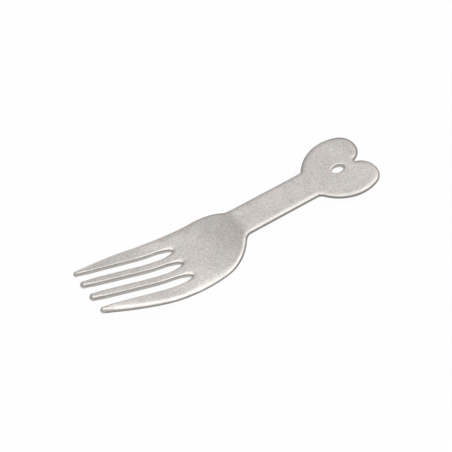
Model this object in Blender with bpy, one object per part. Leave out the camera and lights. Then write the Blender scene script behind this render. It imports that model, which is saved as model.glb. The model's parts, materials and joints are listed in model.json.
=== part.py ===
"""Pocket-size titanium fork with a bone-shaped handle end.

The fork is one piece of titanium sheet. A flat blank is stamped with its three slots and its
oval hanging hole, every edge is rounded over, and the blank is then pressed: a sharp bend at
the neck, a shallow bowl behind the slots, and four tines that rise to their tips. The sheet is
modelled as two solids that meet face to face across the neck, the handle and the head, because
convex collision shapes made for the head alone leave its slots open.

In the flat blank x runs along the fork, with the tines at negative x and the bone end at
positive x, and x = 0 is where the handle meets the bone. y runs across, and the fork is the
same on both sides of y = 0. All lengths are metres.
"""
import math

import bpy
import bmesh
from mathutils import Vector
from mathutils.geometry import delaunay_2d_cdt

# Sheet and its edges
SHEET_THICKNESS = 0.0020
EDGE_LAND = 0.0001
EDGE_ROUND_WIDTH = 0.0017
SLOT_EDGE_RADIUS = 0.0005
ROOT_ROUND_WIDTH = 0.0014
TIP_ROUND_SHARE = 0.9
TIP_ROUND_LENGTH = 0.0055
HOLE_EDGE_RADIUS = 0.0006

# Handle and bone end
HANDLE_LENGTH = 0.0288
HANDLE_WIDTH = 0.01105
BONE_LOBE_DISTANCE = 0.01788
BONE_LOBE_RADIUS = 0.00567
BONE_LOBE_GAP = 0.0005
BONE_NOTCH_DEPTH = 0.0046
BONE_SIDE_RADIUS = 0.0173
BONE_CORNER_FILLET = 0.0025
HOLE_DISTANCE = 0.0115
HOLE_LENGTH = 0.0049
HOLE_WIDTH = 0.0028

# Head, slots and tines, measured along the flat blank
NECK_FILLET = 0.0041
SHOULDER_RADIUS = 0.0176
BOWL_LENGTH = 0.02455
HEAD_WIDEST_DISTANCE = 0.0275
TINE_LENGTH = 0.03905
OUTER_TINE_SETBACK = 0.0007
SLOT_WIDTH = 0.0030
SLOT_ROOT_LENGTH = 0.0064
INNER_TINE_ROOT_WIDTH = 0.0027
INNER_TINE_TIP_WIDTH = 0.0023
OUTER_TINE_ROOT_WIDTH = 0.0050
OUTER_TINE_TIP_WIDTH = 0.00175

# Press profile, as radii of the sheet's middle surface
NECK_BEND_ANGLE = math.radians(42.4)
NECK_BEND_RADIUS = 0.0018
NECK_FLAT_LENGTH = 0.00047
BOWL_BACK_RADIUS = 0.0218
BOWL_FRONT_RADIUS = 0.0499
TINE_RISE_ANGLE = math.radians(24.1)
OUTER_TINE_DROP = 0.0008

# Finish
TITANIUM_COLOUR = (0.56, 0.53, 0.50, 1.0)
TITANIUM_ROUGHNESS = 0.45

# Fineness of the facets
ARC_STEP = math.radians(12.0)
NECK_ARC_STEP = math.radians(4.0)
BEND_STEP = math.radians(5.0)
LONGEST_STEP = 0.0022
SAME_POINT = 0.000001
FILL_PITCH = 0.0030
FILL_ROOM = 0.0010
EDGE_STEPS = 4
SHARP_ANGLE = math.radians(40.0)
INSIDE_EDGES = 1
PITCH_REFINEMENTS = 5

HALF_THICKNESS = SHEET_THICKNESS / 2
ROUND_DEPTH = HALF_THICKNESS - EDGE_LAND / 2
OUTER_ROUND = Vector((EDGE_ROUND_WIDTH, ROUND_DEPTH))
ROOT_ROUND = Vector((ROOT_ROUND_WIDTH, ROUND_DEPTH))
TIP_ROUND = Vector((TIP_ROUND_SHARE * OUTER_TINE_TIP_WIDTH / 2, ROUND_DEPTH))
SLOT_ROUND = Vector((SLOT_EDGE_RADIUS, min(SLOT_EDGE_RADIUS, ROUND_DEPTH)))
HOLE_ROUND = Vector((HOLE_EDGE_RADIUS, min(HOLE_EDGE_RADIUS, ROUND_DEPTH)))
NECK_X = -HANDLE_LENGTH
SLOT_ROOT_X = NECK_X - BOWL_LENGTH
INNER_TIP_X = SLOT_ROOT_X - TINE_LENGTH
OUTER_TIP_X = INNER_TIP_X + OUTER_TINE_SETBACK
INNER_TINE_TAPER = (INNER_TINE_ROOT_WIDTH - INNER_TINE_TIP_WIDTH) / TINE_LENGTH
HEAD_HALF_WIDTH = SLOT_WIDTH / 2 + INNER_TINE_ROOT_WIDTH + SLOT_WIDTH + OUTER_TINE_ROOT_WIDTH


def arc(center, start, end, turn, arc_step=ARC_STEP):
    """Points from start to end around center; turn is 1 anticlockwise and -1 clockwise."""
    radius = (start - center).length
    first = math.atan2(start.y - center.y, start.x - center.x)
    last = math.atan2(end.y - center.y, end.x - center.x)
    sweep = turn * ((turn * (last - first)) % math.tau)
    steps = math.ceil(max(2, abs(sweep) / arc_step, abs(sweep) * radius / LONGEST_STEP))
    angles = [first + sweep * i / steps for i in range(steps + 1)]
    return [center + radius * Vector((math.cos(a), math.sin(a))) for a in angles]


def line(start, end):
    """Evenly spaced points from start to end."""
    steps = math.ceil(max(1, (end - start).length / LONGEST_STEP))
    return [start.lerp(end, i / steps) for i in range(steps + 1)]


def towards(start, end, distance):
    """The point at a distance from start on the way to end."""
    return start + (end - start).normalized() * distance


def circle_crossing(center_a, radius_a, center_b, radius_b):
    """The crossing of two circles that lies on the right of the way from a to b."""
    way = center_b - center_a
    along = (radius_a ** 2 - radius_b ** 2 + way.length_squared) / (2 * way.length)
    aside = math.sqrt(radius_a ** 2 - along ** 2)
    ahead = way.normalized()
    return center_a + ahead * along + Vector((ahead.y, -ahead.x)) * aside


def inner_tine_edge(x):
    """y of the slot-side edge of an inner tine, which tapers towards its tip."""
    return SLOT_WIDTH / 2 + INNER_TINE_ROOT_WIDTH + INNER_TINE_TAPER * (x - SLOT_ROOT_X)


def slot_root(middle):
    """Pointed arch that closes a slot, from its outer to its inner edge; middle gives its y at x."""
    points = []
    steps = math.ceil(math.pi / ARC_STEP)
    for i in range(steps + 1):
        angle = math.pi / 2 - math.pi * i / steps
        x = SLOT_ROOT_X - SLOT_ROOT_LENGTH * (1 - math.cos(angle))
        share = math.sin(angle) * (1 + abs(math.sin(angle))) / 2
        points.append(Vector((x, middle(x) + SLOT_WIDTH / 2 * share)))
    return points


def bone_half():
    """Half of the bone end, from the bottom of its notch to the handle's edge."""
    lobe = Vector((BONE_LOBE_DISTANCE, BONE_LOBE_RADIUS + BONE_LOBE_GAP / 2))
    notch_bottom = Vector((lobe.x + BONE_LOBE_RADIUS - BONE_NOTCH_DEPTH, 0))
    notch_radius = ((notch_bottom - lobe).length_squared - BONE_LOBE_RADIUS ** 2) / (2 * BONE_NOTCH_DEPTH)
    notch = notch_bottom + Vector((notch_radius, 0))
    notch_end = towards(notch, lobe, notch_radius)
    corner = Vector((0, HANDLE_WIDTH / 2))
    side = circle_crossing(corner, BONE_SIDE_RADIUS, lobe, BONE_SIDE_RADIUS - BONE_LOBE_RADIUS)
    lobe_end = towards(side, lobe, BONE_SIDE_RADIUS)
    fillet_y = HANDLE_WIDTH / 2 + BONE_CORNER_FILLET
    reach = BONE_SIDE_RADIUS + BONE_CORNER_FILLET
    fillet = Vector((side.x - math.sqrt(reach ** 2 - (fillet_y - side.y) ** 2), fillet_y))
    side_end = towards(side, fillet, BONE_SIDE_RADIUS)
    handle_start = Vector((fillet.x, HANDLE_WIDTH / 2))
    return (arc(notch, notch_bottom, notch_end, -1)
            + arc(lobe, notch_end, lobe_end, 1)
            + arc(side, lobe_end, side_end, 1)
            + arc(fillet, side_end, handle_start, -1))


def head_half():
    """Half of the head, from the handle's edge round the outer tine's tip to its slot."""
    taper = Vector((1, INNER_TINE_TAPER)).normalized()
    tip_radius = OUTER_TINE_TIP_WIDTH / 2
    tip_x = OUTER_TIP_X + tip_radius
    tip = Vector((tip_x, inner_tine_edge(tip_x) + SLOT_WIDTH + tip_radius / taper.x))
    tip_end = tip + tip_radius * Vector((taper.y, -taper.x))
    widest_x = NECK_X - HEAD_WIDEST_DISTANCE
    rise = HEAD_HALF_WIDTH - tip.y
    side_radius = ((widest_x - tip.x) ** 2 + rise ** 2 - tip_radius ** 2) / (2 * (rise - tip_radius))
    side = Vector((widest_x, HEAD_HALF_WIDTH - side_radius))
    neck = Vector((NECK_X, HANDLE_WIDTH / 2 + NECK_FILLET))
    shoulder = circle_crossing(neck, SHOULDER_RADIUS + NECK_FILLET, side, side_radius - SHOULDER_RADIUS)
    neck_start = Vector((NECK_X, HANDLE_WIDTH / 2))
    neck_end = towards(neck, shoulder, NECK_FILLET)
    shoulder_end = towards(side, shoulder, side_radius)
    side_end = towards(side, tip, side_radius)
    return (arc(neck, neck_start, neck_end, -1, NECK_ARC_STEP)
            + arc(shoulder, neck_end, shoulder_end, 1)
            + arc(side, shoulder_end, side_end, 1)
            + arc(tip, side_end, tip_end, 1))


def slots_half():
    """The slot beside the inner tine, the tine's round tip, and half of the middle slot."""
    taper = Vector((1, INNER_TINE_TAPER)).normalized()
    tip_radius = INNER_TINE_TIP_WIDTH * taper.x / (1 + taper.x - taper.y)
    tip = Vector((INNER_TIP_X + tip_radius, SLOT_WIDTH / 2 + tip_radius))
    tip_start = tip + tip_radius * Vector((-taper.y, taper.x))
    tip_end = tip - Vector((0, tip_radius))
    side_root = slot_root(lambda x: inner_tine_edge(x) + SLOT_WIDTH / 2)
    middle_root = slot_root(lambda x: 0.0)
    return (side_root
            + line(side_root[-1], tip_start)
            + arc(tip, tip_start, tip_end, 1)
            + line(tip_end, middle_root[0])
            + middle_root[:len(middle_root) // 2 + 1])


def eased(share):
    """A share held between 0 and 1 and eased at both ends."""
    held = min(1.0, max(0.0, share))
    return held * held * (3 - 2 * held)


def tip_share(x, tip_x, tip_width):
    """How far a tine's edge has turned into its tip's: 1 on the round tip, 0 well behind it."""
    return eased((tip_x + TIP_ROUND_LENGTH - x) / (TIP_ROUND_LENGTH - tip_width))


def outer_roundings(x):
    """Top and bottom rounding of the outer edge at x, as width and depth; they narrow to the tip."""
    rounding = OUTER_ROUND.lerp(TIP_ROUND, tip_share(x, OUTER_TIP_X, OUTER_TINE_TIP_WIDTH))
    return rounding, rounding


def slot_roundings(x, tip_x, tip_width):
    """Top and bottom rounding of a slot's edge at x: broad at the tip and on top of the root."""
    root = eased(1 - (SLOT_ROOT_X - x) / SLOT_ROOT_LENGTH) ** 2
    under = SLOT_ROUND.lerp(TIP_ROUND, tip_share(x, tip_x, tip_width))
    return under + (ROOT_ROUND - SLOT_ROUND) * root, under


def distinct(edge):
    """An edge without the points that repeat the one before them."""
    repeats = [i for i in range(1, len(edge)) if (edge[i][0] - edge[i - 1][0]).length < SAME_POINT]
    return [place for i, place in enumerate(edge) if i not in repeats]


def mirrored(edge):
    """The same edge on the other side of the fork, run backwards."""
    return [(Vector((p.x, -p.y)), over, under) for p, over, under in reversed(edge)]


def handle_edge():
    """Edge of the handle and bone, from the neck round to the neck.

    An edge is a list of points, each with the edge's rounding at the top and at the bottom there.
    """
    bone = bone_half()
    side = line(bone[-1], Vector((NECK_X, HANDLE_WIDTH / 2)))
    half = distinct([(p, OUTER_ROUND, OUTER_ROUND) for p in bone + side])
    return mirrored(half[1:]) + half


def head_edge():
    """Edge of the head, its tines and slots, from the neck round to the neck, like handle_edge."""
    outer = head_half()
    slots = slots_half()
    half = [(p, *outer_roundings(p.x)) for p in outer]
    half += [(p, *slot_roundings(p.x, OUTER_TIP_X, OUTER_TINE_TIP_WIDTH))
             for p in line(outer[-1], slots[0])]
    half += [(p, *slot_roundings(p.x, INNER_TIP_X, INNER_TINE_TIP_WIDTH)) for p in slots]
    half = distinct(half)
    return half + mirrored(half[:-1])


def hole_edge():
    """Edge of the oval hanging hole, clockwise, like handle_edge."""
    steps = 2 * math.ceil(math.pi / ARC_STEP)
    center = Vector((HOLE_DISTANCE, 0))
    angles = [-math.tau * i / steps for i in range(steps)]
    oval = [Vector((HOLE_LENGTH / 2 * math.cos(a), HOLE_WIDTH / 2 * math.sin(a))) for a in angles]
    return [(center + p, HOLE_ROUND, HOLE_ROUND) for p in oval]


def inward_normals(edge):
    """Unit vectors into the sheet at each point of an edge with the sheet on its left.

    Where an edge starts or ends at the neck it runs along x, so its normal points across.
    """
    normals = []
    for i, (point, over, under) in enumerate(edge):
        before = (point - edge[i - 1][0]).normalized()
        after = (edge[(i + 1) % len(edge)][0] - point).normalized()
        ahead = (before + after).normalized()
        at_neck = abs(point.x - NECK_X) < SAME_POINT
        across = Vector((0, -math.copysign(1, point.y)))
        normals.append(across if at_neck else Vector((-ahead.y, ahead.x)))
    return normals


def edge_section(over, under):
    """Inset and height of an edge's section, from the top face round to the bottom face.

    Each face turns into the edge along a quarter of an ellipse with its rounding's width and depth.
    """
    angles = [math.pi / 2 * i / EDGE_STEPS for i in range(EDGE_STEPS + 1)]
    top, bottom = [[(width * (1 - math.sin(a)), HALF_THICKNESS - depth * (1 - math.cos(a)))
                    for a in angles] for width, depth in (over, under)]
    return top + [(inset, -height) for inset, height in reversed(bottom)]


# Lengths of the runs that the press makes after the neck, and how far each one turns
PRESS = (
    (NECK_FLAT_LENGTH, 0.0),
    (NECK_BEND_RADIUS * NECK_BEND_ANGLE, -NECK_BEND_ANGLE),
    (NECK_FLAT_LENGTH, 0.0),
    (BOWL_BACK_RADIUS * NECK_BEND_ANGLE, NECK_BEND_ANGLE),
    (BOWL_FRONT_RADIUS * TINE_RISE_ANGLE, TINE_RISE_ANGLE),
)


def press_line(x):
    """Where a blank point at x comes to lie on the pressed middle surface: x, z and slope there."""
    left = max(0.0, NECK_X - x)
    place = Vector((max(x, NECK_X), 0.0))
    slope = 0.0
    for length, bend in PRESS:
        run = min(left, length)
        half_turn = bend * run / length / 2
        chord = run * math.sin(half_turn) / half_turn if half_turn else run
        place.x -= chord * math.cos(slope + half_turn)
        place.y += chord * math.sin(slope + half_turn)
        slope += 2 * half_turn
        left -= run
    place.x -= left * math.cos(slope)
    place.y += left * math.sin(slope)
    return place.x, place.y, slope


def pressed(point, height):
    """A blank point at a height above the sheet's middle, after pressing."""
    x, z, slope = press_line(point.x)
    past_root = max(0.0, (SLOT_ROOT_X - point.x) / (SLOT_ROOT_X - OUTER_TIP_X))
    outer_tip_y = inner_tine_edge(OUTER_TIP_X) + SLOT_WIDTH + OUTER_TINE_TIP_WIDTH / 2
    drop = OUTER_TINE_DROP * (past_root * point.y / outer_tip_y) ** 2
    return Vector((x + height * math.sin(slope), point.y, z - drop + height * math.cos(slope)))


def inside(point, outline):
    """Whether a point lies inside a closed outline."""
    odd = False
    for i, end in enumerate(outline):
        start = outline[i - 1]
        if (start.y > point.y) != (end.y > point.y):
            crossing = start.x + (end.x - start.x) * (point.y - start.y) / (end.y - start.y)
            odd ^= point.x < crossing
    return odd


def fill_points(rim):
    """Points inside a face where the sheet is bent, in rows across it."""
    points = []
    station = NECK_X
    rows = math.ceil(HEAD_HALF_WIDTH / FILL_PITCH)
    for length, bend in PRESS:
        steps = math.ceil(max(1, abs(bend) / BEND_STEP))
        for i in range(steps):
            x = station - length * (i + 1) / steps
            points += [Vector((x, row * FILL_PITCH)) for row in range(-rows, rows + 1)]
        station -= length
    return [p for p in points if inside(p, rim) and min((p - q).length for q in rim) > FILL_ROOM]


def face_triangles(rim, hole_rim, fill):
    """Triangles, as indices into rim + hole_rim + fill, that cover the face between the rims."""
    points = rim + hole_rim + fill
    count = len(rim)
    hole_end = count + len(hole_rim)
    edges = [(i, (i + 1) % count) for i in range(count)]
    edges += [(i, i + 1 if i + 1 < hole_end else count) for i in range(count, hole_end)]
    found = delaunay_2d_cdt(points, edges, [], INSIDE_EDGES, SAME_POINT)
    triangles = [[found[3][v][0] for v in face] for face in found[2]]
    return [t for t in triangles if not all(count <= v < hole_end for v in t)]


def add_edge_rings(mesh, edge, closed):
    """Carry the rounded section along an edge; returns the rings of vertices, top face first."""
    normals = inward_normals(edge)
    sections = [edge_section(over, under) for point, over, under in edge]
    rings = []
    for step in range(2 * EDGE_STEPS + 2):
        ring = []
        for (point, over, under), normal, section in zip(edge, normals, sections):
            inset, height = section[step]
            ring.append(mesh.verts.new(pressed(point + normal * inset, height)))
        rings.append(ring)
    for upper, lower in zip(rings, rings[1:]):
        for i in range(0 if closed else 1, len(edge)):
            mesh.faces.new((upper[i - 1], lower[i - 1], lower[i], upper[i]))
    return rings


def face_rim(edge, side):
    """Outline of the flat face inside a rounded edge; side is 1 for the top and 2 for the bottom."""
    return [place[0] + normal * place[side].x for place, normal in zip(edge, inward_normals(edge))]


def rest_pitch():
    """Angle by which the handle slopes when the fork lies on its bowl and its bone end."""
    x, z, slope = press_line(NECK_X - NECK_BEND_RADIUS * NECK_BEND_ANGLE - 2 * NECK_FLAT_LENGTH)
    bowl_center = Vector((x + BOWL_BACK_RADIUS * math.sin(slope), z + BOWL_BACK_RADIUS * math.cos(slope)))
    bone_end = BONE_LOBE_DISTANCE + BONE_LOBE_RADIUS
    edge_center = Vector((bone_end - OUTER_ROUND.x, OUTER_ROUND.y - HALF_THICKNESS))
    way = edge_center - bowl_center
    pitch = 0.0
    for refinement in range(PITCH_REFINEMENTS):
        edge_reach = Vector((OUTER_ROUND.x * math.sin(pitch), OUTER_ROUND.y * math.cos(pitch))).length
        reach_difference = BOWL_BACK_RADIUS + HALF_THICKNESS - edge_reach
        pitch = math.asin(reach_difference / way.length) + math.atan2(way.y, way.x)
    return pitch


def titanium():
    """Blasted and tumbled titanium."""
    material = bpy.data.materials.new("titanium")
    material.use_nodes = True
    shader = material.node_tree.nodes["Principled BSDF"]
    shader.inputs["Base Color"].default_value = TITANIUM_COLOUR
    shader.inputs["Metallic"].default_value = 1.0
    shader.inputs["Roughness"].default_value = TITANIUM_ROUGHNESS
    return material


def sheet_solid(name, edge, hole, material):
    """A pressed piece of the sheet within an edge that runs from the neck round to the neck."""
    mesh = bmesh.new()
    rings = add_edge_rings(mesh, edge, closed=False)
    neck = [ring[-1] for ring in rings] + [ring[0] for ring in reversed(rings)]
    mesh.faces.new(neck)
    hole_rings = add_edge_rings(mesh, hole, closed=True)
    for side, ring, height in ((1, 0, HALF_THICKNESS), (2, -1, -HALF_THICKNESS)):
        rim = face_rim(edge, side)
        hole_rim = face_rim(hole, side)
        fill = fill_points(rim)
        inner = [mesh.verts.new(pressed(p, height)) for p in fill]
        corners = rings[ring] + hole_rings[ring] + inner
        for triangle in face_triangles(rim, hole_rim, fill):
            mesh.faces.new([corners[v] for v in (triangle if side == 1 else reversed(triangle))])

    data = bpy.data.meshes.new(name)
    mesh.to_mesh(data)
    mesh.free()
    data.shade_smooth()
    data.set_sharp_from_angle(angle=SHARP_ANGLE)
    data.materials.append(material)
    solid = bpy.data.objects.new(name, data)
    bpy.context.scene.collection.objects.link(solid)
    return solid


def fork():
    """The whole fork, standing on z = 0 with its bounding box centred on x = 0 and y = 0."""
    material = titanium()
    handle = sheet_solid("handle", handle_edge(), hole_edge(), material)
    head = sheet_solid("head", head_edge(), [], material)
    base = bpy.data.objects.new("fork", None)
    bpy.context.scene.collection.objects.link(base)
    handle.parent = base
    head.parent = base
    pitch = rest_pitch()
    points = [v.co for v in (*handle.data.vertices, *head.data.vertices)]
    xs = [p.x * math.cos(pitch) + p.z * math.sin(pitch) for p in points]
    zs = [p.z * math.cos(pitch) - p.x * math.sin(pitch) for p in points]
    base.rotation_euler = (0.0, pitch, 0.0)
    base.location = (-(min(xs) + max(xs)) / 2, 0.0, -min(zs))


for leftover in list(bpy.data.objects):
    bpy.data.objects.remove(leftover, do_unlink=True)
fork()
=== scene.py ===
"""Looks of a pocket-size titanium fork with a bone-shaped handle end.

The fork is one pressed sheet. Its flat blank is an outline of tangent arcs, a rounded edge
section carried along that outline, and two faces; the press then bends the blank along its
length. Blank x runs along the fork, with the tines at negative x, and x = 0 is where the handle
meets the bone; y runs across. All lengths are metres.
"""
import json
import math

import bpy
import numpy as np
from mathutils.geometry import delaunay_2d_cdt
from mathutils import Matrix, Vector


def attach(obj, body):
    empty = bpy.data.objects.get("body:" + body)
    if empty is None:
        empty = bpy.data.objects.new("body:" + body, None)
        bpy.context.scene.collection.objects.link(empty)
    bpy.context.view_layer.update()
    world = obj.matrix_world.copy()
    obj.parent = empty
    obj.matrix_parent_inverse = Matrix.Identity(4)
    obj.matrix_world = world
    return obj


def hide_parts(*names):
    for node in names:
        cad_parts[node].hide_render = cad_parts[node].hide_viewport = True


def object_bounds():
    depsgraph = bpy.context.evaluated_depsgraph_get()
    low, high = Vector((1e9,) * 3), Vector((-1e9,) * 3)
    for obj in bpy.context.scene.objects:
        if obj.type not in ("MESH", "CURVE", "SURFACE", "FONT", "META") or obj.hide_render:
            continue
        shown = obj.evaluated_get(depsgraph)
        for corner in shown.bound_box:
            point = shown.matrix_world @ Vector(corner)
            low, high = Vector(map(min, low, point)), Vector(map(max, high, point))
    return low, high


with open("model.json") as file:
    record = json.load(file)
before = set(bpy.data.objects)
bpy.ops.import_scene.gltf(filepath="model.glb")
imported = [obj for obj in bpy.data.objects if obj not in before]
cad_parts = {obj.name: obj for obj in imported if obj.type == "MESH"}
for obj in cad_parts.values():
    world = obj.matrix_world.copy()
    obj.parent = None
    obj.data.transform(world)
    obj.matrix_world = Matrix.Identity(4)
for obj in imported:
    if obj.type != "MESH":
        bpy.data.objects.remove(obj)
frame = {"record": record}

CAD_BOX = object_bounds()
HANDLE_FACE = next(m for m in frame["record"]["mounts"] if m["name"] == "handle_top")

# Fineness of the mesh
OUTLINE_STEP = 0.00025
ARC_STEP = math.radians(4.0)
EDGE_STEPS = 8
FILL_PITCH = 0.0008
FILL_ROOM = 0.0003
BEND_STEP = math.radians(2.5)
SAME_POINT = 0.000001
FLOOR_RINGS = 12
FLOOR_SPOKES = 96
# Kind of Delaunay result that keeps only the triangles inside the given edges
INSIDE_EDGES = 1

# How dark the painted shade on a wall is, standing in for the dark surroundings and shadowed floor it
# reflects: 0 is like the faces and 1 is the wall shade colour; above 1 it darkens sooner
BONE_DARK = 2.6
SLOT_DARK = 0.55
ROOT_DARK = 0.25
TIP_DARK = 0.45
HOLE_DARK = 0.5

# Tilts of the rounded edge between which it gets worn, takes the lobes' rim shade and takes the wall's
# painted shade, as parts of a right angle
WORN_TILTS = (0.04, 0.25)
RIM_SHADE_TILTS = (0.06, 0.22)
DARK_TILTS = (0.2, 0.52)

# Where shares start and where they are full, as distances past the neck
SHOULDER_START = (0.006, 0.016)
FAR_FLANK_START = (0.016, 0.026)
NEAR_FLANK_START = (0.005, 0.015)
# The same, as x from the slots' roots
SHOULDER_END = (-0.006, 0.0)
# The same along the tines, as parts of their length
FLANK_END = (0.0, 1 / 3)
NEAR_TINE_START = (0.05, 0.3)
# The same across the fork, as parts of the head's half width; y is negative on the near side
NEAR_SIDE = (0.5, -0.5)
FAR_FLANK = (0.4, 0.8)
NEAR_FLANK = (0.2, 0.7)
NEAR_TINE = (-0.2, -0.7)
FAR_LOBE_END = (-0.6, 0.0)
FAR_LOBE_RIM = (-0.5, 0.5)

# Middle and width of the bone's painted shade in x, and of its shaded spot in parts of the half width
SHADED_BONE = (0.0050, 0.0090)
SHADED_LOBE_ENDS = (0.0207, 0.0028)
SHADED_SPOT = (0.0207, 0.0022)
SHADED_SPOT_ACROSS = (0.43, 0.2)
# Middle and width of the painted shade on the pressed places past the neck
SHADED_NECK = (0.0010, 0.0012)
SHADED_HEEL = (0.0085, 0.0040)
# Where the painted shade on the rim of the bone's lobes starts, in x
LOBE_RIM_START = 0.0145
# How strong the painted shade is on the spot and the near lobe's rim, and what the heel's flanks lose of
# its painted shade
SPOT_SHARE = 1.6
NEAR_RIM_SHARE = 0.5
HEEL_FLANK_LOSS = 0.5

bl_info = {
    "name": "Pocket Titanium Fork",
    "version": (1, 0, 0),
    "blender": (4, 5, 0),
    "location": "3D View > Sidebar > Fork",
    "description": "Builds a pressed titanium fork and the studio stage that it lies on",
    "category": "Object",
}


def length(name, default, description):
    """A length property in metres."""
    return bpy.props.FloatProperty(name=name, description=description, default=default, min=0.0,
                                   precision=5, unit="LENGTH")


def angle(name, degrees, description):
    """An angle property, whose default is given in degrees."""
    return bpy.props.FloatProperty(name=name, description=description,
                                   default=math.radians(degrees), unit="ROTATION")


def number(name, default, description):
    """A plain number property that isn't negative."""
    return bpy.props.FloatProperty(name=name, description=description, default=default, min=0.0)


def colour(name, default, description):
    """A linear colour property."""
    return bpy.props.FloatVectorProperty(name=name, description=description, default=default,
                                         size=3, min=0.0, max=1.0, subtype="COLOR")


class ForkSizes(bpy.types.PropertyGroup):
    """Sizes of the flat blank and of the press that bends it."""

    sheet_thickness: length("Sheet thickness", 0.0020, "Thickness of the titanium sheet")
    edge_land: length("Edge land", 0.0001, "Height left straight on the rounded outer edge")
    edge_round_width: length("Edge round width", 0.0017, "Width of each face that the outer edge rounds")
    slot_edge_radius: length("Slot edge radius", 0.0005, "Rounding of the slots' long edges")
    shoulder_roll: length("Shoulder roll", 0.0012, "Extra width of the rounding on top of the shoulders")
    bone_roll: length("Bone roll", 0.0003, "Extra width of the rounding on top of the bone's lobes")
    root_round_width: length("Root round width", 0.0014, "Width of the top face that a slot's root rounds")
    tip_round_share: number("Tip round share", 0.9, "Part of the outer tip's radius that is rounded")
    tip_round_length: length("Tip round length", 0.0055, "Length of a tine over which its tip is rounded")
    hole_edge_radius: length("Hole edge radius", 0.0006, "Rounding of the hole's edge")
    handle_length: length("Handle length", 0.0288, "From the bone to the neck bend")
    handle_width: length("Handle width", 0.01105, "Across the handle")
    bone_lobe_distance: length("Bone lobe distance", 0.01788, "From the handle to the lobes' centres")
    bone_lobe_radius: length("Bone lobe radius", 0.00567, "Radius of each lobe of the bone end")
    bone_lobe_gap: length("Bone lobe gap", 0.0005, "Between the two lobes' circles")
    bone_notch_depth: length("Bone notch depth", 0.0046, "From the lobes' ends to the notch")
    bone_side_radius: length("Bone side radius", 0.0173, "Radius of the bone's widening sides")
    bone_corner_fillet: length("Bone corner fillet", 0.0025, "Radius where the bone meets the handle")
    hole_distance: length("Hole distance", 0.0115, "From the handle to the hanging hole's centre")
    hole_length: length("Hole length", 0.0049, "Hanging hole along the fork")
    hole_width: length("Hole width", 0.0028, "Hanging hole across the fork")
    neck_fillet: length("Neck fillet", 0.0041, "Radius where the handle widens into the head")
    shoulder_radius: length("Shoulder radius", 0.0176, "Radius of the head's shoulders")
    bowl_length: length("Bowl length", 0.02455, "Along the blank from the neck to the slots")
    head_widest_distance: length("Widest distance", 0.0275, "From the neck to the widest place")
    tine_length: length("Tine length", 0.03905, "Along the blank from the slots' roots to the tips")
    outer_tine_setback: length("Outer tine setback", 0.0007, "Outer tips behind the inner ones")
    slot_width: length("Slot width", 0.0030, "Gap between tines")
    slot_root_length: length("Slot root length", 0.0064, "Length of a slot's pointed root")
    inner_tine_root_width: length("Inner tine root", 0.0027, "Inner tine's width at the slot root")
    inner_tine_tip_width: length("Inner tine tip", 0.0023, "Inner tine's width at the tip")
    outer_tine_root_width: length("Outer tine root", 0.0050, "Outer tine's width at the slot root")
    outer_tine_tip_width: length("Outer tine tip", 0.00175, "Outer tine's width at the tip")
    neck_bend_angle: angle("Neck bend angle", 42.4, "How far the neck is bent down")
    neck_bend_radius: length("Neck bend radius", 0.0018, "Radius of the neck bend")
    neck_flat_length: length("Neck flat length", 0.00047, "Flat run on each side of the neck bend")
    bowl_back_radius: length("Bowl back radius", 0.0218, "Radius of the bowl behind its lowest place")
    bowl_front_radius: length("Bowl front radius", 0.0499, "Radius of the bowl towards the tines")
    tine_rise_angle: angle("Tine rise angle", 24.1, "Slope of the tines against the handle")
    outer_tine_drop: length("Outer tine drop", 0.0008, "Outer tips below the inner ones")


class TitaniumFinish(bpy.types.PropertyGroup):
    """Colour and grain of the blasted titanium, and the painted light and shade on it."""

    cool_colour: colour("Cool colour", (0.577, 0.590, 0.549), "Reflected colour of the faces' cool patches")
    warm_colour: colour("Warm colour", (0.645, 0.564, 0.553), "Reflected colour of the faces' warm patches")
    # Painted shade: the walls' dark colour stands in for the dark surroundings and shadowed floor that they
    # reflect
    wall_shade_colour: colour("Wall shade colour", (0.28, 0.265, 0.25), "Reflected colour of the outer edge's wall, darkened as painted shade")
    roughness: number("Roughness", 0.42, "Roughness of the blasted faces")
    edge_roughness: number("Edge roughness", 0.34, "Roughness of the tumbled edges")
    grain_size: length("Grain size", 0.0006, "Size of the blasted grain")
    grain_depth: length("Grain depth", 0.00001, "Height of the blasted grain")
    grain_contrast: number("Grain contrast", 0.66, "How much the grain lightens and darkens the metal")
    grain_roughness: number("Grain roughness", 0.1, "How much the grain changes the roughness")
    grain_wear: number("Grain wear", 0.5, "How much of the grain's contrast is lost on the worn edges")
    tint_size: length("Tint size", 0.003, "Size of the warm and cool patches")
    mottle_size: length("Mottle size", 0.004, "Size of the cloudy patches")
    mottle_contrast: number("Mottle contrast", 0.24, "How much the patches lighten and darken the metal")
    # Painted light on the head's flanks
    flank_painted_light: number("Flank painted light", 0.07, "How much painted light brightens the head's flanks")
    # Painted shade on the bone
    bone_shade: number("Bone shade", 0.05, "How much painted shade darkens the bone against the handle")
    # Painted shade on the rim of the bone's lobes
    rim_shade: number("Rim shade", 0.2, "How much painted shade darkens the rounded rim of the bone's lobes")
    # Painted shade on the pressed neck and heel
    neck_heel_shade: number("Neck and heel shade", 0.06, "How much painted shade darkens the pressed neck and heel")
    # Moves where the painted wall shade begins on the near outer tine
    shade_delay_tilt: number("Shade delay tilt", 0.19, "How much later the near outer tine's edge turns dark")


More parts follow.
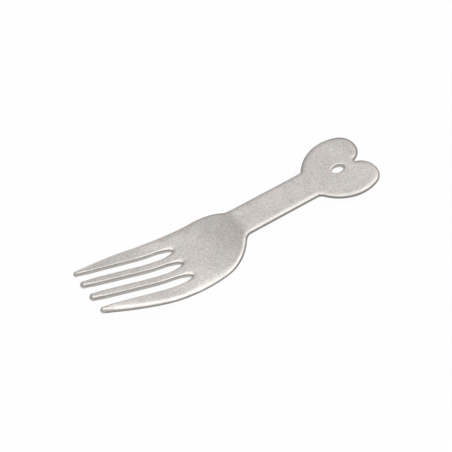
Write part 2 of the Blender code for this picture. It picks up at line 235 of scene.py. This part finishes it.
class StageSetup(bpy.types.PropertyGroup):
    """Floor, light and camera."""

    floor_colour: colour("Floor colour", (0.80, 0.80, 0.80), "Colour of the plain floor")
    floor_whiteness: number("Floor whiteness", 0.95, "Share of plain white in the floor that is seen")
    floor_radius: length("Floor radius", 3.0, "Radius of the round floor")
    dome_light: number("Dome light", 0.61, "Level of the plain studio dome at the horizon")
    dome_top_light: number("Dome top light", 0.86, "Level of the plain studio dome overhead")
    side_box_light: number("Side box light", 1.64, "Level in the middle of the side softbox")
    side_box_turn: angle("Side box turn", -19.0, "Direction of the side softbox, from +X towards +Y")
    side_box_height: angle("Side box height", 36.0, "Height of the side softbox over the horizon")
    side_box_focus: number("Side box focus", 9.3, "How sharply the side softbox falls off")
    front_box_light: number("Front box light", 2.28, "Level in the middle of the front softbox")
    front_box_turn: angle("Front box turn", -102.0, "Direction of the front softbox, from +X towards +Y")
    front_box_height: angle("Front box height", 61.6, "Height of the front softbox over the horizon")
    front_box_focus: number("Front box focus", 22.0, "How sharply the front softbox falls off")
    camera_aim: bpy.props.FloatVectorProperty(
        name="Camera aim", description="Point on the floor that the camera looks at",
        default=(0.00042, 0.00466, 0.0), size=3, subtype="XYZ", unit="LENGTH")
    camera_distance: length("Camera distance", 0.42813, "From the aim to the camera")
    camera_turn: angle("Camera turn", -35.578, "Camera's turn about the vertical")
    camera_tilt: angle("Camera tilt", 32.836, "Camera's tilt from straight down")
    camera_lens: bpy.props.FloatProperty(
        name="Camera lens", description="Focal length", default=103.54, unit="CAMERA")


class Wire:
    """A node tree's output socket; its operators add Math nodes, and node() adds any other node."""

    def __init__(self, tree, socket=None):
        self.tree = tree
        self.socket = socket

    def node(self, kind, settings, inputs, output=0):
        """Add a node: its settings first, then its inputs by name or index; gives one output."""
        made = self.tree.nodes.new(kind)
        for name, value in settings.items():
            setattr(made, name, value)
        for name, value in inputs.items():
            if isinstance(value, Wire):
                self.tree.links.new(value.socket, made.inputs[name])
            else:
                made.inputs[name].default_value = value
        return made if output is None else Wire(self.tree, made.outputs[output])

    def math(self, operation, *values):
        """A Math node on this tree."""
        return self.node("ShaderNodeMath", {"operation": operation}, dict(enumerate(values)))

    def mix(self, factor, first, second):
        """Colour mix from first to second by factor."""
        return self.node("ShaderNodeMix", {"data_type": "RGBA"}, {0: factor, 6: first, 7: second}, 2)

    def smooth(self, low, high):
        """This value eased from 0 at low to 1 at high."""
        inputs = {"Value": self, "From Min": low, "From Max": high}
        return self.node("ShaderNodeMapRange", {"interpolation_type": "SMOOTHSTEP"}, inputs)

    def __add__(self, other):
        return self.math("ADD", self, other)

    def __sub__(self, other):
        return self.math("SUBTRACT", self, other)

    def __rsub__(self, other):
        return self.math("SUBTRACT", other, self)

    def __mul__(self, other):
        return self.math("MULTIPLY", self, other)

    __radd__ = __add__
    __rmul__ = __mul__


def solid(rgb):
    """A colour with full alpha."""
    return (*rgb, 1.0)


def titanium(finish):
    """Blasted titanium with a fine grain, walls darkened with painted shade, and mottled faces.

    The shares on the mesh say where the edges are worn, where painted light brightens it and where painted
    shade darkens it.
    """
    material = bpy.data.materials.new("blasted_titanium")
    material.use_nodes = True
    tree = material.node_tree
    shader = tree.nodes["Principled BSDF"]
    wire = Wire(tree)
    place = wire.node("ShaderNodeTexCoord", {}, {}, "Object")
    wall, painted_wall_shade, flank, bone, lobe, press, shade_delay = [
        wire.node("ShaderNodeAttribute", {"attribute_name": name}, {}, "Fac")
        for name in ("wall", "painted_wall_shade", "flank", "bone", "lobe", "press", "shade_delay")]

    def noise(size, detail):
        """Noise of a feature size, about 0 and mostly within half of 1 either way."""
        inputs = {"Vector": place, "Scale": 1.0 / size, "Detail": detail}
        return wire.node("ShaderNodeTexNoise", {}, inputs, "Fac") - 0.5

    grain = noise(finish.grain_size, 1.0)
    mottle = noise(finish.mottle_size, 3.0)
    tint = noise(finish.tint_size, 2.0)
    worn = wall.smooth(*WORN_TILTS)
    # Painted shade on the walls, in the wall shade colour
    dark = painted_wall_shade * (wall - finish.shade_delay_tilt * shade_delay).smooth(*DARK_TILTS)
    face = wire.mix(0.5 + tint, solid(finish.cool_colour), solid(finish.warm_colour))
    base = wire.mix(dark, face, solid(finish.wall_shade_colour))
    # Painted shade on the rounded rim of the bone's lobes
    rim = lobe * wall.smooth(*RIM_SHADE_TILTS)
    contrast = finish.grain_contrast * (1.0 - finish.grain_wear * worn)
    value = 1.0 + contrast * grain + finish.mottle_contrast * mottle
    # Painted light on the flanks; painted shade on the bone, its lobes' rim, and the pressed neck and heel
    value = value * (1.0 + finish.flank_painted_light * flank - finish.bone_shade * bone
                     - finish.rim_shade * rim - finish.neck_heel_shade * press)
    shade = wire.node("ShaderNodeHueSaturation", {}, {"Value": value, "Color": base})
    rough = finish.roughness + (finish.edge_roughness - finish.roughness) * worn
    rough = rough + finish.grain_roughness * grain
    bump = wire.node("ShaderNodeBump", {}, {"Height": grain, "Distance": finish.grain_depth})
    tree.links.new(shade.socket, shader.inputs["Base Color"])
    tree.links.new(rough.socket, shader.inputs["Roughness"])
    tree.links.new(bump.socket, shader.inputs["Normal"])
    shader.inputs["Metallic"].default_value = 1.0
    return material


def unit(vectors):
    """Vectors scaled to length one."""
    return vectors / np.linalg.norm(vectors, axis=-1, keepdims=True)


def towards(start, end, distance):
    """The point at a distance from start on the way to end."""
    return start + unit(end - start) * distance


def arc(center, start, end, turn):
    """Points at even angles round center, centre + radius * (cos, sin); turn is 1 anticlockwise."""
    out = start - center
    radius = np.hypot(*out)
    first = math.atan2(out[1], out[0])
    last = math.atan2(*(end - center)[::-1])
    sweep = turn * ((turn * (last - first)) % math.tau)
    steps = math.ceil(max(2, abs(sweep) / ARC_STEP, abs(sweep) * radius / OUTLINE_STEP))
    angles = first + np.linspace(0.0, sweep, steps + 1)
    return center + radius * np.stack((np.cos(angles), np.sin(angles)), axis=1)


def line(start, end):
    """Points at even distances from start to end."""
    steps = math.ceil(max(1, np.hypot(*(end - start)) / OUTLINE_STEP))
    return start + np.linspace(0.0, 1.0, steps + 1)[:, None] * (end - start)


def eased(share):
    """Shares held between 0 and 1 and eased at both ends."""
    held = np.clip(share, 0.0, 1.0)
    return held * held * (3.0 - 2.0 * held)


def ramp(values, start, full):
    """Shares eased from 0 where the values are at start to 1 where they are at full."""
    return eased((values - start) / (full - start))


def bell(values, middle, width):
    """Bell curve exp(-(distance / width)^2) of the values' distance from the middle."""
    return np.exp(-((values - middle) / width) ** 2)


def between(start, end, share):
    """The value at a share of the way from start to end."""
    return start + (end - start) * share


def ramp_between(values, first, second, share):
    """A ramp whose start and full places lie a share of the way from the first's to the second's."""
    start, full = [between(a, b, share) for a, b in zip(first, second)]
    return ramp(values, start, full)


def circle_crossing(center_a, radius_a, center_b, radius_b):
    """The crossing of two circles that lies on the right of the way from a to b."""
    way = center_b - center_a
    reach = np.hypot(*way)
    along = (radius_a ** 2 - radius_b ** 2 + reach ** 2) / (2 * reach)
    aside = math.sqrt(radius_a ** 2 - along ** 2)
    ahead = way / reach
    return center_a + ahead * along + np.array((ahead[1], -ahead[0])) * aside


def inward_normals(outline):
    """Unit vectors into the sheet, square to the mean of the two steps that meet at each point."""
    before = unit(outline - np.roll(outline, 1, axis=0))
    after = unit(np.roll(outline, -1, axis=0) - outline)
    ahead = unit(before + after)
    return np.stack((-ahead[:, 1], ahead[:, 0]), axis=1)


def inside(points, outline):
    """Which points lie inside a closed outline: those whose ray to +x crosses it an odd time."""
    start, end = np.roll(outline, 1, axis=0), outline
    x, y = points[:, :1], points[:, 1:]
    spans = (start[:, 1] > y) != (end[:, 1] > y)
    rise = end[:, 1] - start[:, 1]
    rise = np.where(rise == 0.0, 1.0, rise)
    crossing = start[:, 0] + (end[:, 0] - start[:, 0]) * (y - start[:, 1]) / rise
    return (spans & (x < crossing)).sum(axis=1) % 2 == 1


class Blank:
    """The stamped blank and its press, worked out from the fork's sizes."""

    def __init__(self, sizes):
        self.s = sizes
        self.half_thickness = sizes.sheet_thickness / 2
        depth = self.half_thickness - sizes.edge_land / 2
        self.outer_round = np.array((sizes.edge_round_width, depth))
        self.root_round = np.array((sizes.root_round_width, depth))
        self.tip_round = np.array((sizes.tip_round_share * sizes.outer_tine_tip_width / 2, depth))
        self.hole_round = np.array((sizes.hole_edge_radius, min(sizes.hole_edge_radius, depth)))
        self.slot_round = np.array((sizes.slot_edge_radius, min(sizes.slot_edge_radius, depth)))
        self.neck_x = -sizes.handle_length
        self.slot_root_x = self.neck_x - sizes.bowl_length
        self.inner_tip_x = self.slot_root_x - sizes.tine_length
        self.outer_tip_x = self.inner_tip_x + sizes.outer_tine_setback
        self.taper = (sizes.inner_tine_root_width - sizes.inner_tine_tip_width) / sizes.tine_length
        self.half_width = (sizes.slot_width * 1.5 + sizes.inner_tine_root_width
                           + sizes.outer_tine_root_width)
        self.press = (
            (sizes.neck_flat_length, 0.0),
            (sizes.neck_bend_radius * sizes.neck_bend_angle, -sizes.neck_bend_angle),
            (sizes.neck_flat_length, 0.0),
            (sizes.bowl_back_radius * sizes.neck_bend_angle, sizes.neck_bend_angle),
            (sizes.bowl_front_radius * sizes.tine_rise_angle, sizes.tine_rise_angle),
        )

    def inner_tine_edge(self, x):
        """y of an inner tine's outer edge, which tapers towards the tip."""
        s = self.s
        return s.slot_width / 2 + s.inner_tine_root_width + self.taper * (x - self.slot_root_x)

    def slot_root(self, middle):
        """Pointed arch that closes a slot whose middle line is middle(x).

        At an angle a the arch lies length * (1 - cos a) from its point, and its half width is
        that of the slot times sin a * (1 + |sin a|) / 2.
        """
        shares = np.linspace(1.0, -1.0, math.ceil(math.pi / ARC_STEP) // 2 * 2 + 1)
        angles = math.pi / 2 * shares * np.sqrt(np.abs(shares))
        x = self.slot_root_x - self.s.slot_root_length * (1 - np.cos(angles))
        sine = np.sin(angles)
        aside = self.s.slot_width / 2 * sine * (1.0 + np.abs(sine)) / 2
        return np.stack((x, middle(x) + aside), axis=1)

    def bone_half(self):
        """Half of the bone end: notch, lobe, side and corner arcs, to the handle's edge."""
        s = self.s
        lobe = np.array((s.bone_lobe_distance, s.bone_lobe_radius + s.bone_lobe_gap / 2))
        bottom = np.array((lobe[0] + s.bone_lobe_radius - s.bone_notch_depth, 0.0))
        reach = np.hypot(*(bottom - lobe))
        notch_radius = (reach ** 2 - s.bone_lobe_radius ** 2) / (2 * s.bone_notch_depth)
        notch = bottom + (notch_radius, 0.0)
        notch_end = towards(notch, lobe, notch_radius)
        corner = np.array((0.0, s.handle_width / 2))
        side = circle_crossing(corner, s.bone_side_radius, lobe, s.bone_side_radius - s.bone_lobe_radius)
        lobe_end = towards(side, lobe, s.bone_side_radius)
        fillet_y = s.handle_width / 2 + s.bone_corner_fillet
        fillet_reach = s.bone_side_radius + s.bone_corner_fillet
        fillet_x = side[0] - math.sqrt(fillet_reach ** 2 - (fillet_y - side[1]) ** 2)
        fillet = np.array((fillet_x, fillet_y))
        side_end = towards(side, fillet, s.bone_side_radius)
        handle_start = np.array((fillet_x, s.handle_width / 2))
        return np.concatenate((
            arc(notch, bottom, notch_end, -1),
            arc(lobe, notch_end, lobe_end, 1),
            arc(side, lobe_end, side_end, 1),
            arc(fillet, side_end, handle_start, -1)))

    def head_half(self):
        """Half of the head: neck, shoulder, side and outer tip arcs, to the outer tine's slot."""
        s = self.s
        taper = unit(np.array((1.0, self.taper)))
        tip_radius = s.outer_tine_tip_width / 2
        tip_x = self.outer_tip_x + tip_radius
        tip = np.array((tip_x, self.inner_tine_edge(tip_x) + s.slot_width + tip_radius / taper[0]))
        tip_end = tip + tip_radius * np.array((taper[1], -taper[0]))
        widest_x = self.neck_x - s.head_widest_distance
        rise = self.half_width - tip[1]
        side_radius = ((widest_x - tip_x) ** 2 + rise ** 2 - tip_radius ** 2) / (2 * (rise - tip_radius))
        side = np.array((widest_x, self.half_width - side_radius))
        neck = np.array((self.neck_x, s.handle_width / 2 + s.neck_fillet))
        shoulder = circle_crossing(neck, s.shoulder_radius + s.neck_fillet,
                                   side, side_radius - s.shoulder_radius)
        neck_start = np.array((self.neck_x, s.handle_width / 2))
        neck_end = towards(neck, shoulder, s.neck_fillet)
        shoulder_end = towards(side, shoulder, side_radius)
        side_end = towards(side, tip, side_radius)
        return np.concatenate((
            arc(neck, neck_start, neck_end, -1),
            arc(shoulder, neck_end, shoulder_end, 1),
            arc(side, shoulder_end, side_end, 1),
            arc(tip, side_end, tip_end, 1)))

    def slots_half(self):
        """The slot beside an inner tine, the tine's round tip, and half of the middle slot."""
        s = self.s
        taper = unit(np.array((1.0, self.taper)))
        tip_radius = s.inner_tine_tip_width * taper[0] / (1 + taper[0] - taper[1])
        tip = np.array((self.inner_tip_x + tip_radius, s.slot_width / 2 + tip_radius))
        tip_start = tip + tip_radius * np.array((-taper[1], taper[0]))
        tip_end = tip - (0.0, tip_radius)
        side_root = self.slot_root(lambda x: self.inner_tine_edge(x) + s.slot_width / 2)
        middle_root = self.slot_root(lambda x: 0.0 * x)
        return np.concatenate((
            side_root,
            line(side_root[-1], tip_start),
            arc(tip, tip_start, tip_end, 1),
            line(tip_end, middle_root[0]),
            middle_root[:len(middle_root) // 2 + 1]))

    def past_root(self, x):
        """How far x lies along the tines, from 0 at the slots' roots to 1 at the outer tips."""
        return np.maximum(0.0, (self.slot_root_x - x) / (self.slot_root_x - self.outer_tip_x))

    def tip_share(self, x, tip_x, tip_width):
        """How far a tine's edge has turned into its tip's: 1 on the round tip, 0 well behind it."""
        return eased((tip_x + self.s.tip_round_length - x) / (self.s.tip_round_length - tip_width))

    def outer_edge(self, points):
        """Top and underside roundings of outer edge points, and shares of painted wall shade.

        Both roundings narrow to the tip, and the top's is broader on the shoulders and the bone.
        """
        s = self.s
        x = points[:, :1]
        under = between(self.outer_round, self.tip_round,
                        self.tip_share(x, self.outer_tip_x, s.outer_tine_tip_width))
        bone = eased((x - s.hole_distance) / s.hole_length)
        shoulder = ramp(self.neck_x - x, *SHOULDER_START) * ramp(x - self.slot_root_x, *SHOULDER_END)
        roll = s.shoulder_roll * shoulder + s.bone_roll * bone
        over = under + roll * np.array((1.0, 0.0))
        tip = eased((self.outer_tip_x - x) / s.outer_tine_tip_width + 1.0)
        # Painted wall shade: lighter at the outer tip, much darker on the bone
        darks = 1.0 + (TIP_DARK - 1.0) * tip + (BONE_DARK - 1.0) * bone
        return over, under, darks[:, 0]

    def slot_edge(self, points, tip_x, tip_width):
        """Roundings of slot points, broad at the tip and on top of the root, and shares of painted wall
        shade.
        """
        x = points[:, :1]
        root = eased(1.0 - (self.slot_root_x - x) / self.s.slot_root_length) ** 2
        tip = self.tip_share(x, tip_x, tip_width)
        under = between(self.slot_round, self.tip_round, tip)
        over = under + (self.root_round - self.slot_round) * root
        # Painted wall shade: lighter at the roots and at the tips
        darks = SLOT_DARK + (ROOT_DARK - SLOT_DARK) * root + (TIP_DARK - SLOT_DARK) * tip
        return over, under, darks[:, 0]

    def outline(self):
        """Closed outline, anticlockwise from the notch, its top and underside roundings, and shares of
        painted wall shade.
        """
        bone, head, slots = self.bone_half(), self.head_half(), self.slots_half()
        outer = np.concatenate((bone, line(bone[-1], head[0]), head))
        inner = line(head[-1], slots[0])
        edges = (self.outer_edge(outer),
                 self.slot_edge(inner, self.outer_tip_x, self.s.outer_tine_tip_width),
                 self.slot_edge(slots, self.inner_tip_x, self.s.inner_tine_tip_width))
        half = np.concatenate((outer, inner, slots))
        step = np.linalg.norm(np.diff(half, axis=0, prepend=np.nan), axis=1)
        kept = ~(step < SAME_POINT)
        there = [half[kept]] + [np.concatenate(part)[kept] for part in zip(*edges)]
        back = [part[-2:0:-1] for part in there]
        back[0] = back[0] * (1.0, -1.0)
        return [np.concatenate(pair) for pair in zip(there, back)]

    def hole(self):
        """The oval hanging hole, clockwise, with the same values as the outline."""
        count = math.ceil(math.tau / ARC_STEP)
        angles = -math.tau * np.arange(count) / count
        x = self.s.hole_distance + self.s.hole_length / 2 * np.cos(angles)
        y = self.s.hole_width / 2 * np.sin(angles)
        rounds = np.tile(self.hole_round, (count, 1))
        # Painted wall shade of the hole
        return np.stack((x, y), axis=1), rounds, rounds, np.full(count, HOLE_DARK)

    def edge(self, outline, over, under):
        """Rounded section carried along an outline, from the top face to the bottom face.

        Each face turns into the edge along a quarter ellipse: at turn t the inset is
        width * (1 - sin t) and the point lies depth * (1 - cos t) inside the face's level.
        Gives points, heights and tilts, where tilt is 0 on the face and 1 on the upright wall.
        """
        turn = np.linspace(0.0, math.pi / 2, EDGE_STEPS + 1)[:, None]
        turn = np.concatenate((turn, turn[::-1]))
        up = np.repeat((1.0, -1.0), EDGE_STEPS + 1)[:, None]
        width, depth = [np.where(up > 0.0, over[:, k], under[:, k]) for k in (0, 1)]
        inset = width * (1 - np.sin(turn))
        height = up * (self.half_thickness - depth * (1 - np.cos(turn)))
        tilt = np.arctan2(depth * np.sin(turn), width * np.cos(turn)) / (math.pi / 2)
        return outline + inset[..., None] * inward_normals(outline), height, tilt

    def fill(self, rim, hole_rim):
        """A grid of points inside a face, with rows close together where the sheet is bent."""
        rows = [np.arange(self.neck_x + FILL_PITCH, rim[:, 0].max(), FILL_PITCH)]
        station = self.neck_x
        for run, bend in self.press:
            steps = math.ceil(max(abs(bend) / BEND_STEP, run / FILL_PITCH))
            rows.append(station - run * np.arange(steps) / steps)
            station -= run
        rows.append(np.arange(station, rim[:, 0].min(), -FILL_PITCH))
        columns = FILL_PITCH * np.arange(-math.ceil(self.half_width / FILL_PITCH),
                                         math.ceil(self.half_width / FILL_PITCH) + 1)
        x, y = np.meshgrid(np.concatenate(rows), columns)
        points = np.stack((x.ravel(), y.ravel()), axis=1)
        points = points[inside(points, rim) & ~inside(points, hole_rim)]
        rims = np.concatenate((rim, hole_rim))
        near = np.min((points[:, :1] - rims[:, 0]) ** 2 + (points[:, 1:] - rims[:, 1]) ** 2, axis=1)
        return points[near > FILL_ROOM ** 2]

    def painted_light_shares(self, points):
        """Where painted light and shade go, as shares by name: flank, bone, lobe, press and shade_delay.

        The flanks are the outer parts of the head, brightened with painted light: the near one from the
        shoulder to the tines, the far one along its tine. The bone gets painted shade, most of all at
        the far lobe's end, and so does the rim of its lobes. The pressed neck and the heel of the bowl
        get painted shade. On the near outer tine the painted wall shade begins at a steeper tilt, and
        steeper still at its tip.
        """
        x, y = points[..., 0], points[..., 1] / self.half_width
        past_neck, past_root = self.neck_x - x, self.past_root(x)
        near = ramp(y, *NEAR_SIDE)
        outer = ramp_between(np.abs(y), FAR_FLANK, NEAR_FLANK, near)
        begun = ramp_between(past_neck, FAR_FLANK_START, NEAR_FLANK_START, near)
        # Painted light on the head's flanks
        flank = outer * begun * (1.0 - near * ramp(past_root, *FLANK_END))
        # Painted shade on the bone, strongest at the far lobe's end and on a spot
        spot = bell(x, *SHADED_SPOT) * bell(y, *SHADED_SPOT_ACROSS)
        ends = bell(x, *SHADED_LOBE_ENDS) * ramp(y, *FAR_LOBE_END)
        bone = bell(x, *SHADED_BONE) + ends + SPOT_SHARE * spot
        # Painted shade on the rim of the bone's lobes
        lobe = eased((x - LOBE_RIM_START) / self.s.hole_length)
        lobe = lobe * (NEAR_RIM_SHARE + ramp(y, *FAR_LOBE_RIM))
        # Painted shade on the pressed neck and heel of the bowl
        heel = bell(past_neck, *SHADED_HEEL) * (1.0 - HEEL_FLANK_LOSS * outer)
        press = bell(past_neck, *SHADED_NECK) + heel
        # Where the painted wall shade begins later: on the near outer tine, and later still at its tip
        shade_delay = ramp(y, *NEAR_TINE) * ramp(past_root, *NEAR_TINE_START)
        shade_delay = shade_delay * (1.0 + self.tip_share(x, self.outer_tip_x, self.s.outer_tine_tip_width))
        return {"flank": flank, "bone": bone, "lobe": lobe, "press": press, "shade_delay": shade_delay}

    def pressed(self, points, height):
        """Blank points at a height above the sheet's middle, after pressing.

        The middle line is straight along the handle, then follows one arc or flat after another.
        A run that turns from slope a to slope b moves along its chord, of length
        run * sin(h) / h at the slope (a + b) / 2, where h is half of the turn. The height is laid
        off square to the sheet.
        """
        x, y = points[..., 0], points[..., 1]
        left = np.maximum(0.0, self.neck_x - x)
        along = np.maximum(x, self.neck_x)
        up = np.zeros_like(x)
        slope = np.zeros_like(x)
        for run, bend in self.press:
            part = np.minimum(left, run)
            turn = bend * part / run
            chord = part * np.sinc(turn / math.tau)
            along = along - chord * np.cos(slope + turn / 2)
            up = up + chord * np.sin(slope + turn / 2)
            slope = slope + turn
            left = left - part
        along = along - left * np.cos(slope)
        up = up + left * np.sin(slope)
        tip_y = (self.inner_tine_edge(self.outer_tip_x) + self.s.slot_width
                 + self.s.outer_tine_tip_width / 2)
        up = up - self.s.outer_tine_drop * (self.past_root(x) * y / tip_y) ** 2
        return np.stack((along + height * np.sin(slope), y, up + height * np.cos(slope)), axis=-1)

    def placed(self, points):
        """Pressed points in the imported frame, with the handle's top on the mount of that name."""
        lean = math.atan2(HANDLE_FACE["axis"][0], HANDLE_FACE["axis"][2])
        turn = np.array(((math.cos(lean), 0.0, math.sin(lean)),
                         (0.0, 1.0, 0.0),
                         (-math.sin(lean), 0.0, math.cos(lean))))
        middle = np.array((self.neck_x / 2, 0.0, self.half_thickness))
        there = (points - middle) @ turn.T + np.array(HANDLE_FACE["pos_m"])
        return np.clip(there, *CAD_BOX)


def strip_quads(index):
    """Quads between the rows of a grid of vertex indices whose columns close on themselves."""
    before = np.roll(index, 1, axis=1)
    return np.stack((before[:-1], before[1:], index[1:], index[:-1]), axis=-1).reshape(-1, 4)


def face_triangles(rim, hole_rim, fill):
    """Triangles that join the rims and the grid of points within them, without the hole."""
    points = np.concatenate((rim, hole_rim, fill))
    outer = np.arange(len(rim))
    hole = len(rim) + np.arange(len(hole_rim))
    edges = np.concatenate([np.stack((loop, np.roll(loop, -1)), axis=1) for loop in (outer, hole)])
    found = delaunay_2d_cdt(points.tolist(), edges.tolist(), [], INSIDE_EDGES, SAME_POINT)
    if len(found[0]) != len(points):
        raise RuntimeError("The fork's outline crosses itself, so its faces can't be filled")
    triangles = np.array(found[2])
    in_hole = np.isin(triangles, hole).all(axis=1)
    return triangles[~in_hole]


def fork_mesh(blank):
    """Vertices and faces of the whole fork, two rounded edges and two faces, and its shares.

    The wall share is the tilt of the edge, painted_wall_shade says how dark the painted shade on its
    upright wall is, and the other shares say where painted light and shade go.
    """
    parts = []
    for outline, over, under, darks in (blank.outline(), blank.hole()):
        points, heights, tilt = blank.edge(outline, over, under)
        painted_wall_shade = np.broadcast_to(darks, tilt.shape)
        parts.append((blank.pressed(points, heights), tilt, points, painted_wall_shade))
    index = []
    count = 0
    for part in parts:
        index.append(count + np.arange(part[1].size).reshape(part[1].shape))
        count += part[1].size
    vertices = [part[0].reshape(-1, 3) for part in parts]
    places = [part[2].reshape(-1, 2) for part in parts]
    faces = np.concatenate([strip_quads(grid) for grid in index]).tolist()
    for row, height in ((0, blank.half_thickness), (-1, -blank.half_thickness)):
        rim, hole_rim = parts[0][2][row], parts[1][2][row]
        fill = blank.fill(rim, hole_rim)
        triangles = face_triangles(rim, hole_rim, fill)
        corners = np.concatenate((index[0][row], index[1][row], count + np.arange(len(fill))))
        faces += corners[triangles if row == 0 else triangles[:, ::-1]].tolist()
        vertices.append(blank.pressed(fill, height))
        places.append(fill)
        count += len(fill)
    shares = {name: np.zeros(count) for name in ("wall", "painted_wall_shade")}
    for part, grid in zip(parts, index):
        shares["wall"][grid] = part[1]
        shares["painted_wall_shade"][grid] = part[3]
    shares.update(blank.painted_light_shares(np.concatenate(places)))
    return blank.placed(np.concatenate(vertices)), faces, shares


class FORK_OT_press_sheet(bpy.types.Operator):
    """Stamp the titanium blank, round its edges and press it into the fork"""

    bl_idname = "fork.press_sheet"
    bl_label = "Press Fork"

    def execute(self, context):
        vertices, faces, shares = fork_mesh(Blank(context.scene.fork_sizes))
        mesh = bpy.data.meshes.new("fork")
        mesh.from_pydata(vertices, [], faces)
        for name, values in shares.items():
            mesh.attributes.new(name, "FLOAT", "POINT").data.foreach_set("value", values)
        mesh.materials.append(titanium(context.scene.titanium_finish))
        mesh.shade_smooth()
        if mesh.validate():
            raise RuntimeError("The fork's mesh has faults")
        piece = bpy.data.objects.new("fork", mesh)
        context.scene.collection.objects.link(piece)
        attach(piece, "root")
        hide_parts("handle", "head")
        return {"FINISHED"}


def floor_material(setup):
    """Plain matt floor, seen and mirrored as mostly white, with a part of the shadow on it."""
    material = bpy.data.materials.new("plain_floor")
    material.use_nodes = True
    tree = material.node_tree
    tree.nodes.clear()
    wire = Wire(tree)
    seen = [wire.node("ShaderNodeLightPath", {}, {}, "Is %s Ray" % kind)
            for kind in ("Camera", "Glossy", "Transmission")]
    share = setup.floor_whiteness * wire.math("MINIMUM", seen[0] + seen[1] + seen[2], 1.0)
    matt = wire.node("ShaderNodeBsdfDiffuse", {}, {"Color": solid(setup.floor_colour)})
    white = wire.node("ShaderNodeEmission", {}, {"Strength": 1.0})
    surface = wire.node("ShaderNodeMixShader", {}, {0: share, 1: matt, 2: white})
    wire.node("ShaderNodeOutputMaterial", {}, {"Surface": surface}, None)
    return material


def studio_dome(world, setup):
    """Plain dome with two soft boxes; each is level * exp(focus * (cosine - 1)) of the way to it."""
    world.use_nodes = True
    tree = world.node_tree
    wire = Wire(tree)
    way = wire.node("ShaderNodeTexCoord", {}, {}, "Generated")
    height = wire.node("ShaderNodeSeparateXYZ", {}, {0: way}, "Z")
    level = setup.dome_light + (setup.dome_top_light - setup.dome_light) * height.smooth(0.0, 1.0)
    for light, turn, rise, focus in (
            (setup.side_box_light, setup.side_box_turn, setup.side_box_height, setup.side_box_focus),
            (setup.front_box_light, setup.front_box_turn, setup.front_box_height, setup.front_box_focus)):
        toward = (math.cos(rise) * math.cos(turn), math.cos(rise) * math.sin(turn), math.sin(rise))
        cosine = wire.node("ShaderNodeVectorMath", {"operation": "DOT_PRODUCT"},
                           {0: way, 1: toward}, "Value")
        level = level + light * wire.math("EXPONENT", focus * (cosine - 1.0))
    tree.links.new(level.socket, tree.nodes["Background"].inputs["Color"])


class FORK_OT_set_stage(bpy.types.Operator):
    """Lay the floor, set the studio light and place the camera"""

    bl_idname = "fork.set_stage"
    bl_label = "Set Stage"

    def execute(self, context):
        scene = context.scene
        setup = scene.stage_setup
        scene.view_settings.view_transform = "Standard"

        turns = math.tau * np.arange(FLOOR_SPOKES) / FLOOR_SPOKES
        reach = setup.floor_radius * np.linspace(0.0, 1.0, FLOOR_RINGS + 1)[1:, None] ** 2
        rings = np.stack((reach * np.cos(turns), reach * np.sin(turns), 0.0 * reach * turns), axis=-1)
        index = np.arange(FLOOR_RINGS * FLOOR_SPOKES).reshape(FLOOR_RINGS, FLOOR_SPOKES)
        mesh = bpy.data.meshes.new("floor")
        faces = strip_quads(index).tolist() + [index[0].tolist()]
        mesh.from_pydata(rings.reshape(-1, 3), [], faces)
        mesh.materials.append(floor_material(setup))
        floor = bpy.data.objects.new("floor", mesh)
        scene.collection.objects.link(floor)

        scene.world = bpy.data.worlds.new("studio")
        studio_dome(scene.world, setup)

        camera = bpy.data.objects.new("camera", bpy.data.cameras.new("camera"))
        scene.collection.objects.link(camera)
        camera.data.lens = setup.camera_lens
        camera.rotation_euler = (setup.camera_tilt, 0.0, setup.camera_turn)
        back = camera.rotation_euler.to_matrix().col[2]
        camera.location = setup.camera_aim[:]
        camera.location += back * setup.camera_distance
        camera.data.clip_start = setup.camera_distance / 100
        scene.camera = camera
        return {"FINISHED"}


class FORK_PT_panel(bpy.types.Panel):
    """Sizes, finish and stage of the fork"""

    bl_idname = "FORK_PT_panel"
    bl_label = "Fork"
    bl_space_type = "VIEW_3D"
    bl_region_type = "UI"
    bl_category = "Fork"

    def draw(self, context):
        for group, operator in (("fork_sizes", FORK_OT_press_sheet),
                                ("titanium_finish", FORK_OT_press_sheet),
                                ("stage_setup", FORK_OT_set_stage)):
            box = self.layout.box()
            settings = getattr(context.scene, group)
            for name in settings.__annotations__:
                box.prop(settings, name)
            box.operator(operator.bl_idname)


CLASSES = (ForkSizes, TitaniumFinish, StageSetup, FORK_OT_press_sheet, FORK_OT_set_stage, FORK_PT_panel)


def register():
    for cls in CLASSES:
        bpy.utils.register_class(cls)
    bpy.types.Scene.fork_sizes = bpy.props.PointerProperty(type=ForkSizes)
    bpy.types.Scene.titanium_finish = bpy.props.PointerProperty(type=TitaniumFinish)
    bpy.types.Scene.stage_setup = bpy.props.PointerProperty(type=StageSetup)


def unregister():
    del bpy.types.Scene.stage_setup
    del bpy.types.Scene.titanium_finish
    del bpy.types.Scene.fork_sizes
    for cls in reversed(CLASSES):
        bpy.utils.unregister_class(cls)


def main():
    register()
    bpy.ops.fork.press_sheet()
    bpy.ops.fork.set_stage()


if __name__ == "__main__":
    main()
